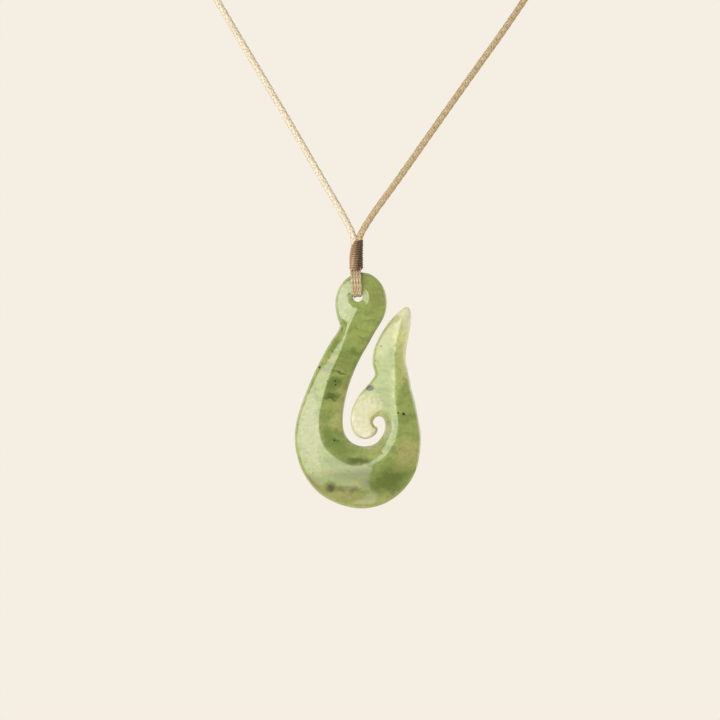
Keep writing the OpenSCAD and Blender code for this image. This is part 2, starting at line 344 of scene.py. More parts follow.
# The cord: a round plait 1.7 mm thick. All in mm, with the routes of part.scad
plait = {
    "routes": {
        "left": [
            (-1, -72, -110.8), (-1.05, -72, -110), (-3, -70.4, -105.8), (-8.7, -66, -95.8),
            (-20.3, -55.5, -75.8), (-35, -41.5, -50.8), (-48.5, -28.5, -27), (-57.5, -17, -9),
            (-62, -8, 2), (-64, 3, 10), (-63.5, 14, 16), (-60, 27, 21.5), (-53, 39, 26), (-43, 49, 29.5),
            (-31, 56.5, 32), (-18, 61, 33), (-8, 62, 33), (-6, 62, 33),
        ],
        "right": [
            (0.5, -72, -110.8), (0.5, -72, -110), (2.8, -70.4, -105.8), (9.9, -66, -95.8),
            (23.9, -55.5, -75.8), (41.4, -41.5, -50.8), (53.5, -28.5, -31), (60.5, -17, -12), (63, -8, 1),
            (64, 3, 9.5), (63.5, 14, 16), (60, 27, 21.5), (53, 39, 26), (43, 49, 29.5), (31, 56.5, 32),
            (18, 61, 33), (8, 62, 33), (6, 62, 33),
        ],
    },
    "neckStart": 8,  # the route's point where the neck stretch begins
    "diameter": 1.7,
    "sizes": {"Ring spacing": 0.3, "Turn length": 5, "Lay radius": 0.51, "Weave depth": 0.085,
              "Strand width": 1.3, "Strand depth": 0.52, "Core radius": 0.6, "Unevenness": 0.05},
    "seeds": {"left": 3.0, "right": 8.0},
    "routeStep": 0.5,
    "tuckedIn": 1.0,  # how far each end runs on inside the lashing and the binding
}


def makePlait(side, p):
    points = [Vector(q) for q in p["routes"][side]]
    firstEnd = points[0] - (points[1] - points[0]).normalized() * p["tuckedIn"]
    lastEnd = points[-1] + (points[-1] - points[-2]).normalized() * p["tuckedIn"]
    line = throughPoints([firstEnd, *points, lastEnd])
    route = routeObject("route_" + side, evenly(line, p["routeStep"]) * mm)
    applied(route, plaitTree, p["sizes"], {"Seed": p["seeds"][side], "Material": cordThread[side]})
    # the length at which the front run ends and the neck stretch begins
    ends = [np.array(points[k]) for k in (0, p["neckStart"])]
    atExit, split = [np.argmin(np.linalg.norm(line - end, axis=1)) for end in ends]
    frontLength = lengthOf(line[:split + 1])
    work = bmesh.new()
    work.from_mesh(route.data)
    pieces = []
    for part, inFront in (("front", True), ("neck", False)):
        copy = work.copy()
        along = copy.verts.layers.float["along"]
        away = [f for f in copy.faces
                if (sum(v[along] for v in f.verts) / len(f.verts) < frontLength * mm) != inFront]
        bmesh.ops.delete(copy, geom=away, context="FACES")
        bmesh.ops.holes_fill(copy, edges=[e for e in copy.edges if e.is_boundary], sides=0)
        bmesh.ops.recalc_face_normals(copy, faces=copy.faces)
        for f in copy.faces:
            f.smooth = True
        mesh = bpy.data.meshes.new(f"plait_{part}_{side}")
        copy.to_mesh(mesh)
        copy.free()
        mesh.materials.append(cordThread[side])
        pieces.append(addObject(f"plait_{part}_{side}", mesh))
    work.free()
    bpy.data.objects.remove(route)
    front, neck = pieces
    for obj, node in ((front, "front_cord_" + side), (neck, "neck_cord_" + side)):
        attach(obj, "cord")
        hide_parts(node)


for side in ("left", "right"):
    makePlait(side, plait)

# The four threads through the hole, in mm from its centre, for the front half; each has a place in the row
eyeThreads = {
    "row": (-1.5, -0.5, 0.5, 1.5), "routeStep": 0.12,
    "footX": -0.55, "footY": 1.08, "pitch": 0.66,
    "rimX": -0.3, "rimPitch": 0.64, "rimRadius": 2.35, "rimY": 3,
    "foot": 6.6, "straight": 6.45, "tuckedIn": 0.7,
    # height, distance from the middle of the stone
    "way": [(6.6, 1.08), (6.45, 1.08), (6.1, 2.2), (5.15, 2.83), (3.9, 2.97)],
    # share of the way from rim to hole, distance from the middle of the stone
    "sink": [(0.45, 2.62), (0.85, 2.0), (1, 1.2)],
    "inHole": {-1.5: (-0.78, 0.22), -0.5: (-0.36, 0.42), 0.5: (0.16, 0.45), 1.5: (0.62, 0.38)},
    "sizes": {"Ring spacing": 0.14, "Turn length": 5, "Lay radius": 0.165, "Weave depth": 0,
              "Strand width": 0.4, "Strand depth": 0.4, "Unevenness": 0.03},
}


def threadRoute(s, e):
    footX = e["footX"] + s * e["pitch"]
    rimX = e["rimX"] + s * e["rimPitch"]
    rimZ = math.sqrt(e["rimRadius"] ** 2 - rimX ** 2)
    low = e["inHole"][s]
    front = [(footX, -e["footY"], e["foot"] + e["tuckedIn"])]
    for z, y in e["way"]:
        t = min(1, (z - rimZ) / (e["straight"] - rimZ))
        front.append((rimX + (footX - rimX) * t, -y, z))
    front.append((rimX, -e["rimY"], rimZ))
    for t, y in e["sink"]:
        front.append((rimX + (low[0] - rimX) * t, -y, rimZ + (low[1] - rimZ) * t))
    return front + [(x, -y, z) for x, y, z in reversed(front)]


for number, s in enumerate(eyeThreads["row"], 1):
    line = evenly(throughPoints(threadRoute(s, eyeThreads)),
                  eyeThreads["routeStep"]) * mm + np.array(holeAt)
    thread = routeObject(f"eye_thread_{number}", line)
    applied(thread, twistTree, eyeThreads["sizes"], {"Seed": 5.0 * number, "Material": waxedThread})
    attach(thread, "cord")
    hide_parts(f"eye_strand_{number}")
print("threads through the hole laid")


def windingTree(name):
    # a thread wound closely round a core that stands on its foot; the turns slant more with height
    sizes = ("Radius", "Height", "Turns", "Thread radius", "Foot slant", "Top slant", "Unevenness", "Seed")
    tree, add, given = newTree(name, sizes, False)
    centre = maths(add, "SUBTRACT", given["Radius"], given["Thread radius"])
    threadWidth = maths(add, "MULTIPLY", given["Thread radius"], 2.0)
    rise = maths(add, "SUBTRACT", given["Height"], threadWidth)
    spiral = add("GeometryNodeCurveSpiral",
                 {"Resolution": 48, "Rotations": given["Turns"], "Start Radius": centre,
                  "End Radius": centre, "Height": rise})
    position = add("GeometryNodeInputPosition")
    parts = add("ShaderNodeSeparateXYZ", {0: position})
    share = maths(add, "DIVIDE", parts.outputs["Z"], rise)
    tilts = []
    for low in (0.0, -0.5):  # the turns stand on the foot, and the core is made round its middle
        slant = add("ShaderNodeMapRange",
                    {"Value": share, "From Min": low, "From Max": low + 1, "To Min": given["Foot slant"],
                     "To Max": given["Top slant"]})
        tilts.append(maths(add, "MULTIPLY", slant, parts.outputs["X"]))
    lifted = maths(add, "ADD", tilts[0], given["Thread radius"])
    along = add("GeometryNodeSplineParameter")
    # both ends dive under their neighbours
    fromEnd = maths(add, "PINGPONG", along.outputs["Factor"], 0.5)
    dive = eased(add, fromEnd, (0, 0.015), (-1.0, 0.0))
    under = maths(add, "MULTIPLY", dive, threadWidth)
    # a hump every 4 mm
    outBy = unevenly(add, given, along.outputs["Length"], 260.0, given["Seed"], 1.5, under)
    flat = add("ShaderNodeVectorMath", {0: position, 1: (1.0, 1.0, 0.0)}, operation="MULTIPLY")
    outward = add("ShaderNodeVectorMath", {0: flat}, operation="NORMALIZE")
    push = add("ShaderNodeVectorMath", {0: outward, "Scale": outBy}, operation="SCALE")
    lift = add("ShaderNodeCombineXYZ", {2: lifted})
    offset = add("ShaderNodeVectorMath", {0: push, 1: lift}, operation="ADD")
    kept = add("GeometryNodeStoreNamedAttribute",
               {"Geometry": spiral, "Name": "along", "Value": along.outputs["Length"]})
    moved = add("GeometryNodeSetPosition", {"Geometry": kept, "Offset": offset})
    circle = add("GeometryNodeCurvePrimitiveCircle", {"Resolution": 10, "Radius": given["Thread radius"]})
    factor = add("GeometryNodeSplineParameter").outputs["Factor"]
    around = add("GeometryNodeStoreNamedAttribute",
                 {"Geometry": circle.outputs["Curve"], "Name": "around", "Value": factor})
    tube = add("GeometryNodeCurveToMesh", {"Curve": moved, "Profile Curve": around, "Fill Caps": True})
    # the core: the thread ends under the turns
    core = add("GeometryNodeMeshCylinder",
               {"Vertices": 48, "Side Segments": 6, "Radius": centre, "Depth": rise},
               fill_type="TRIANGLE_FAN")
    halfUp = maths(add, "MULTIPLY_ADD", given["Height"], 0.5, tilts[1])
    coreLift = add("ShaderNodeCombineXYZ", {2: halfUp})
    coreMoved = add("GeometryNodeSetPosition", {"Geometry": core, "Offset": coreLift})
    joined = add("GeometryNodeJoinGeometry")
    setInputs(tree, joined, {0: tube})
    setInputs(tree, joined, {0: coreMoved})
    endTree(add, joined, given["Material"])
    return tree


# Sizes in mm. The lashing's foot is measured from the hole's centre; the binding stands where its node does
windings = {
    "lashing": {
        "sizes": {"Radius": 1.75, "Height": 7.6, "Thread radius": 0.29, "Unevenness": 0.22},
        "turns": {"Turns": 12.5, "Foot slant": -0.06, "Top slant": 0.26, "Seed": 2.0},
        "foot": (-0.4, 0, 6.6), "narrowing": 0.2, "narrowsFrom": 0.4,
    },
    "nape_binding": {
        "sizes": {"Radius": 1.6, "Height": 12, "Thread radius": 0.28, "Unevenness": 0.1},
        "turns": {"Turns": 23.5, "Foot slant": 0.0, "Top slant": 0.0, "Seed": 9.0},
        "foot": None,
    },
}
windTree = windingTree("closeWinding")
for node, w in windings.items():
    piece = meshObject("winding_" + node, [], [], brownThread[node])
    applied(piece, windTree, w["sizes"], w["turns"] | {"Material": brownThread[node]})
    radius, height = w["sizes"]["Radius"] * mm, w["sizes"]["Height"] * mm
    co = np.zeros(len(piece.data.vertices) * 3)
    piece.data.vertices.foreach_get("co", co)
    co = co.reshape(-1, 3)
    if w["foot"]:  # narrows on its left towards the top
        t = np.clip((co[:, 2] / height - w["narrowsFrom"]) / (1 - w["narrowsFrom"]), 0, 1)
        t = t * t * (3 - 2 * t)
        co[:, 0] = radius - (radius - co[:, 0]) * (1 - w["narrowing"] * t)
        co[:, 1] *= 1 - w["narrowing"] / 2 * t
        co += np.array(holeAt) + np.array(w["foot"]) * mm
    else:  # lies along X between the two ends of the neck stretch
        low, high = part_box(node)
        middle = np.array((low + high) / 2)
        co = np.stack([co[:, 2] - height / 2, co[:, 1], -co[:, 0]], axis=1) + middle
    piece.data.vertices.foreach_set("co", co.ravel())
    piece.data.update()
    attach(piece, "cord")
    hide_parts(node)
print("lashing and binding wound")

# The greenstone hook, in mm from the hole's centre, x to the right and z up, as in part.scad
hook = {
    "halfThickness": 3.1, "edgeHalf": 1.0, "edgeRound": 0.8, "swell": 0.2, "bowlSwell": 0.5, "bowlTop": -36,
    "holeRadius": 1.2, "holeSides": 96, "sinkRadius": 2.75, "sinkSlope": 0.46, "rimSoft": 0.08, "lip": 0.22,
    "paintedEdgeLight": 0.55,  # how far in from the outline the stone is painted paler, as painted light where light would come through
    "ridgeRunOut": 1.6,  # how near the outline the ridge starts to sink
    "top": (1.05, 6.15), "topBoost": 0.5,  # the rounded edge is thicker at the top of the eye
    # outer edge x, z; ridge x, z; inner edge x, z; thickness at the ridge as a share; softness of the ridge
    "sections": [
        (0.6, 6.13, 1.05, 6.15, 1.5, 6.13, 0.42, 0.2), (-1.3, 5.55, 0.95, 5.7, 3.1, 5.75, 0.5, 0.2),
        (-2.9, 4.55, 0.8, 4.85, 4.55, 4.8, 0.62, 0.2), (-4.1, 3.2, 0.6, 3.6, 5.75, 3.5, 0.74, 0.2),
        (-5.1, 1.3, 0.3, 1.7, 6.75, 1.7, 0.82, 0.2), (-5.6, -1, 0, -0.8, 7.25, -0.8, 0.85, 0.2),
        (-5.5, -3.1, -0.3, -3, 7.15, -2.8, 0.87, 0.15), (-5.1, -5.1, -1.3, -5.1, 6.6, -4.8, 0.89, 0.15),
        (-4.6, -6.6, -2.15, -6.8, 5.65, -6.6, 0.91, 0.15), (-4.5, -7.2, -2.5, -7.7, 5.05, -7.6, 0.92, 0.15),
        (-4.85, -8.3, -2.95, -9, 4.2, -8.95, 0.93, 0.15),
        (-6.95, -11.5, -3.8, -11.8, 2.8, -11.5, 0.94, 0.15),
        (-8.9, -15, -5.25, -15.1, 0.8, -14.95, 0.96, 0.15),
        (-10.8, -18.8, -6.95, -18.9, -0.95, -18.7, 0.97, 0.15),
        (-12.5, -22.7, -8.2, -22.8, -2.35, -22.7, 0.98, 0.15),
        (-14, -26.6, -9.2, -26.6, -3.25, -26.5, 0.99, 0.15),
        (-15.2, -30.6, -9.85, -30.4, -3.7, -30.2, 1, 0.15),
        (-15.75, -34.6, -9.75, -34.2, -3.5, -33.2, 1, 0.2),
        (-15.35, -38.9, -8.5, -37.5, -2.6, -35.25, 1, 0.15),
        (-13.6, -44, -6.6, -39.8, -1.2, -36.55, 1, 0.15), (-9.9, -48.8, -3.75, -41.6, 0.3, -37.15, 1, 0.15),
        (-4.7, -51.75, -1, -42.45, 1.4, -37.3, 1, 0.15), (0.9, -52.85, 1.75, -42.35, 2.4, -37.25, 1, 0.15),
        (6.45, -51.75, 4.35, -41.2, 3.6, -37, 1, 0.4), (11.35, -48.3, 6.7, -39.1, 4.9, -36.2, 0.99, 0.9),
        (14.45, -43.6, 8.3, -37, 6, -34.9, 0.98, 0.9), (15.6, -38.4, 9.3, -34.8, 6.65, -33.5, 0.98, 0.9),
        (15.75, -34.7, 9.8, -32.8, 6.85, -32.1, 0.97, 0.9),
        (15.4, -32, 9.9, -31.2, 6.65, -30.85, 0.97, 0.9), (15, -29.8, 9.8, -29.9, 5.9, -29.95, 0.97, 0.9),
        (14.75, -28.4, 9.65, -28.8, 4.6, -30, 0.97, 0.9), (14.5, -27.2, 9.5, -27.8, 3.83, -31.1, 0.97, 0.8),
        (14.25, -26.1, 9.4, -26.8, 4.2, -32.2, 0.97, 0.7), (14, -25.1, 9.3, -25.9, 5, -32.8, 0.97, 0.6),
        (13.7, -24.1, 9.25, -25, 4.4, -34.35, 0.97, 0.6), (13.4, -23.1, 9.25, -24.1, 1.9, -35.5, 0.97, 0.5),
        (13.22, -22.1, 9.25, -23.2, -0.5, -34.5, 0.97, 0.5),
        (13.02, -21, 9.3, -22.2, -1.75, -31.6, 0.96, 0.4),
        (12.78, -19.9, 9.3, -21.1, -1.5, -28.3, 0.96, 0.4), (12.58, -18.8, 9.3, -20, 0.3, -24.6, 0.95, 0.4),
        (12.38, -17.7, 9.3, -18.7, 2.9, -21.5, 0.94, 0.4),
        (12.1, -16.7, 9.3, -17.4, 4.25, -19.4, 0.93, 0.4), (12, -15.6, 9.3, -16, 3.7, -16.6, 0.92, 0.4),
        (12.15, -13.2, 9.35, -13.3, 4.05, -13.3, 0.9, 0.4),
        (12.65, -10.2, 9.85, -10.1, 5.35, -10.1, 0.85, 0.5), (13.1, -7.4, 10.5, -7.2, 7.2, -7.1, 0.76, 0.5),
        (13.35, -5, 11.3, -4.8, 9, -4.9, 0.62, 0.5), (13.15, -3.3, 12, -3.2, 10.75, -3.3, 0.46, 0.5),
        (12.55, -2.55, 12.2, -2.5, 11.8, -2.6, 0.4, 0.5),
    ],
    "fineStep": 0.05, "outlineStep": 0.2, "outlineSoft": 0.12, "ridgeStep": 0.2, "faceStep": 0.3,
    "smoothRounds": 60, "clear": 0.15,  # clear: how far the faces' points keep from the edge and the rings
    "edgeAngles": (15, 30, 45, 60, 75, 90),  # rows of points round the edge, in degrees
    "ridgeRows": (0, 0.12, -0.12, 0.26, -0.26, 0.42, -0.42, 0.6, -0.6),  # rows of points beside the ridge
    # rings of points, by their distance from the hole's wall
    "holeRings": (0.04, 0.1, 0.2, 0.35, 0.5, 0.65, 0.8, 0.95, 1.1, 1.25, 1.4, 1.6, 1.8),
}


def toLine(points, line, closed, chunk=2000):
    # distance from each point to the line, and the number of the nearest stretch
    a = line
    b = np.roll(line, -1, axis=0) if closed else line[1:]
    a = a if closed else line[:-1]
    d = b - a
    best = np.full(len(points), 1e9)
    which = np.zeros(len(points), int)
    for start in range(0, len(points), chunk):
        q = points[start:start + chunk, None, :] - a[None]
        t = np.clip((q * d).sum(2) / (d * d).sum(1), 0, 1)
        far = np.linalg.norm(q - t[..., None] * d, axis=2)
        which[start:start + chunk] = far.argmin(1)
        best[start:start + chunk] = far.min(1)
    return best, which


def insideOf(points, line, chunk=4000):
    # even-odd test against a closed line
    a, b = line, np.roll(line, -1, axis=0)
    inside = np.zeros(len(points), bool)
    for start in range(0, len(points), chunk):
        p = points[start:start + chunk]
        up = (a[None, :, 1] > p[:, 1, None]) != (b[None, :, 1] > p[:, 1, None])
        cut = (b[:, 0] - a[:, 0]) * (p[:, 1, None] - a[None, :, 1]) / (b[:, 1] - a[:, 1] + 1e-12) + a[:, 0]
        inside[start:start + chunk] = (up & (p[:, 0, None] < cut)).sum(1) % 2 == 1
    return inside


def pairSums(pairs, values, others, count):
    # adds up, at each point, what its neighbours give
    return np.bincount(pairs[:, 0], values, count) + np.bincount(pairs[:, 1], others, count)


def spread(pairs, weights, count, fixed, values, rounds=900):
    # fills in the free values so that each is the weighted mean of its neighbours
    total = pairSums(pairs, weights, weights, count)
    free = ~fixed

    def pull(x):
        flow = weights * (x[pairs[:, 0]] - x[pairs[:, 1]])
        return np.where(free, pairSums(pairs, flow, -flow, count), 0)

    x = np.where(fixed, values, values[fixed].mean())
    r = -pull(x)
    z = r / total
    step = z.copy()
    strength = r @ z
    for _ in range(rounds):
        away = pull(step)
        size = strength / max(step @ away, 1e-30)
        x = x + size * step
        r = r - size * away
        z = r / total
        new = r @ z
        if new < 1e-14:
            break
        step = z + new / strength * step
        strength = new
    return x


def makeHook(h, material):
    rows = np.array(h["sections"], float)
    # outline: down the outer side and back up the inner side
    fine, soft = h["fineStep"], h["outlineSoft"]
    outline = throughPoints(np.vstack([rows[:, 0:2], rows[::-1, 4:6]]), closed=True)
    outline = evenly(outline, fine, closed=True)
    reach = int(round(3 * soft / fine))
    steps = np.arange(-reach, reach + 1)
    taps = np.exp(-0.5 * (steps * fine / soft) ** 2)
    outline = sum(w * np.roll(outline, k, axis=0) for k, w in zip(steps, taps / taps.sum()))
    outline = evenly(outline, h["outlineStep"], closed=True)
    if np.cross(outline, np.roll(outline, -1, axis=0)).sum() < 0:
        outline = outline[::-1]
    along = np.roll(outline, -1, axis=0) - np.roll(outline, 1, axis=0)
    inward = np.stack([-along[:, 1], along[:, 0]], axis=1) / np.linalg.norm(along, axis=1)[:, None]
    ridge = throughPoints(np.column_stack([rows[:, 2:4], np.zeros(len(rows)), rows[:, 6:8]]))
    ridge = evenly(ridge, h["ridgeStep"])
    ridgeLine, ridgeShare, ridgeSoft = ridge[:, :2], ridge[:, 3], ridge[:, 4]
    across = np.gradient(ridgeLine, axis=0)
    across = np.stack([-across[:, 1], across[:, 0]], axis=1) / np.linalg.norm(across, axis=1)[:, None]

    # points: the outline, rows on the rounded edge, rings round the hole, rows by the ridge, and the faces
    count, sides = len(outline), h["holeSides"]
    sets = []
    for a in h["edgeAngles"]:
        d = h["edgeRound"] * (1 - math.cos(math.radians(a)))
        row = outline + inward * d
        far, _ = toLine(row, outline, True)
        sets.append(row[(far > d - 0.01) & insideOf(row, outline)])
    turn = np.linspace(0, 2 * math.pi, sides, endpoint=False)
    hole = h["holeRadius"] * np.stack([np.cos(turn), np.sin(turn)], axis=1)
    for k, wider in enumerate(h["holeRings"]):
        a = turn + k % 2 * math.pi / sides
        sets.append((h["holeRadius"] + wider) * np.stack([np.cos(a), np.sin(a)], axis=1))
    lastRing = h["holeRadius"] + h["holeRings"][-1]
    beside = np.vstack([ridgeLine + across * k for k in h["ridgeRows"]])
    far, _ = toLine(beside, outline, True)
    radius = np.linalg.norm(beside, axis=1)
    nearRing = np.abs(radius - h["holeRadius"]) < 0.06
    inRings = (radius < lastRing + 0.1) & (np.arange(len(beside)) >= len(ridgeLine))
    sets.append(beside[(far > h["edgeRound"] + 0.05) & insideOf(beside, outline) & ~nearRing & ~inRings])
    s = h["faceStep"]
    xs, zs = np.arange(-16.5, 16.5, s), np.arange(-53.5, 7, s * 0.866)
    grid = np.array([(x + (k % 2) * s / 2, z) for k, z in enumerate(zs) for x in xs])
    grid = grid[insideOf(grid, outline)]
    farEdge, _ = toLine(grid, outline, True)
    farRidge, _ = toLine(grid, ridgeLine, False)
    radius = np.linalg.norm(grid, axis=1)
    clear = (farEdge > h["edgeRound"] + h["clear"]) & (radius > lastRing + h["clear"])
    sets.append(grid[clear & (farRidge > 0.72)])
    sets.append(grid[(radius < h["holeRadius"] - 0.25) & (farRidge > 0.2)])
    flat = np.vstack([outline, hole, *sets])
    edges = [(i, (i + 1) % count) for i in range(count)]
    edges += [(count + i, count + (i + 1) % sides) for i in range(sides)]
    cut = delaunay_2d_cdt([Vector(p) for p in flat], edges, [], 0, 1e-5, True)
    points = np.array([tuple(v) for v in cut[0]])
    faces = np.array([f for f in cut[2] if len(f) == 3])
    cameFrom = np.array([o[0] if o else -1 for o in cut[3]])
    faces = faces[insideOf(points[faces].mean(1), outline)]
    a, b, c = points[faces[:, 0]], points[faces[:, 1]], points[faces[:, 2]]
    area = np.cross(b - a, c - a)
    faces[area < 0] = faces[area < 0][:, ::-1]
    faces = faces[np.abs(area) > 1e-9]
    print("hook: outline", count, "points", len(points), "faces a side", len(faces))

    # heights: a share from 0 at the rounded edge to 1 on the ridge, spread evenly between them
    farEdge, _ = toLine(points, outline, True)
    farRidge, nearest = toLine(points, ridgeLine, False)
    onOutline = (cameFrom >= 0) & (cameFrom < count)
    farEdge[onOutline] = 0
    pairs, weights = [], []
    for k in range(3):
        p, q, o = faces[:, k], faces[:, (k + 1) % 3], faces[:, (k + 2) % 3]
        u, v = points[p] - points[o], points[q] - points[o]
        cot = (u * v).sum(1) / np.maximum(np.abs(np.cross(u, v)), 1e-9)
        pairs.append(np.stack([p, q], axis=1))
        weights.append(np.clip(cot / 2, 1e-3, 20))
    pairs, weights = np.vstack(pairs), np.concatenate(weights)
    onRidge = (farRidge < 0.01) & ~onOutline
    ramp = np.clip(farEdge / h["ridgeRunOut"], 0, 1) ** 0.8
    share = spread(pairs, weights, len(points), onOutline | onRidge, np.where(onRidge, ramp, 0.0))
    thick = spread(pairs, weights, len(points), farRidge < 0.01, ridgeShare[nearest] * h["halfThickness"])
    boost = h["topBoost"] * np.exp(-((points - h["top"]) ** 2).sum(1) / 8)
    low = np.minimum(h["edgeHalf"] + boost, 0.6 * thick)
    rounding = np.sqrt(1 - (1 - np.clip(farEdge / h["edgeRound"], 0, 1)) ** 2)
    # the bowl's outer slope is fuller than its inner one, from its top down and most of all on its left
    below = points[:, 1] < ridgeLine[nearest, 1]
    fuller = np.clip((h["bowlTop"] - points[:, 1]) / 8, 0, 1) * (1 - points[:, 0] / 18) * below
    swell = h["swell"] + h["bowlSwell"] * fuller
    height = low * rounding + (thick - low) * share * (1 + swell * (1 - share))

    # the ridge is rounded off, more on the right arm than on the shank
    soft = ridgeSoft[nearest]
    total = np.maximum(pairSums(pairs, None, None, len(points)), 1)
    weight = np.clip(1.3 - farRidge / np.maximum(soft, 0.05), 0, 1) * np.clip(soft / 0.9, 0.1, 1) * 0.5
    weight[farEdge < h["edgeRound"]] = 0
    for _ in range(h["smoothRounds"]):
        mean = pairSums(pairs, height[pairs[:, 1]], height[pairs[:, 0]], len(points)) / total
        height = height + weight * (mean - height)

    # the countersink follows the face, with a soft rim
    radius = np.linalg.norm(points, axis=1)
    depth = (h["sinkRadius"] - radius) * h["sinkSlope"]
    gap = np.clip(0.5 + 0.5 * depth / h["rimSoft"], 0, 1)
    lip = np.clip((h["holeRadius"] + h["lip"] - radius) / h["lip"], 0, 1)
    height = height - depth * gap - h["rimSoft"] * gap * (1 - gap) - h["lip"] * (1 - np.sqrt(1 - lip ** 2))
    height[onOutline] = 0

    faces = faces[np.linalg.norm(points[faces].mean(1), axis=1) > h["holeRadius"] * 0.999]
    front = np.column_stack([points[:, 0], -height, points[:, 1]])
    back = front * (1, -1, 1)
    backIndex = np.where(onOutline, np.arange(len(points)), np.arange(len(points)) + len(points))
    verts = list(front) + list(back)
    allFaces = [tuple(f) for f in faces] + [tuple(backIndex[f[::-1]]) for f in faces]
    # the drilled wall of the hole
    rim = [int(np.where(cameFrom == count + k)[0][0]) for k in range(sides)]
    loops = [rim]
    for t in np.linspace(-1, 1, 8)[1:-1]:
        loops.append(list(range(len(verts), len(verts) + sides)))
        verts += [(p[0], t * height[i], p[1]) for p, i in zip(hole, rim)]
    loops.append([int(backIndex[i]) for i in rim])
    for upper, lower in zip(loops[:-1], loops[1:]):
        allFaces += [(upper[k - 1], upper[k], lower[k], lower[k - 1]) for k in range(sides)]
    placed = np.array(verts) * mm + np.array(holeAt)
    obj = meshObject("greenstone_hook", placed, allFaces, material)
    # painted light: 1 on the outline, falling to 0 further in, for the paler edges
    edgeLightShare = np.clip(1 - farEdge / h["paintedEdgeLight"], 0, 1)
    kept = obj.data.attributes.new("paintedEdgeLight", "FLOAT", "POINT")
    kept.data.foreach_set("value", np.concatenate([edgeLightShare, edgeLightShare, np.zeros(len(verts) - 2 * len(points))]))
    work = bmesh.new()
    work.from_mesh(obj.data)
    bmesh.ops.delete(work, geom=[v for v in work.verts if not v.link_faces], context="VERTS")
    bmesh.ops.recalc_face_normals(work, faces=work.faces)
    openEdges = sum(1 for e in work.edges if not e.is_manifold)
    work.to_mesh(obj.data)
    work.free()
    print("hook: faces", len(obj.data.polygons), "open edges", openEdges)
    return obj
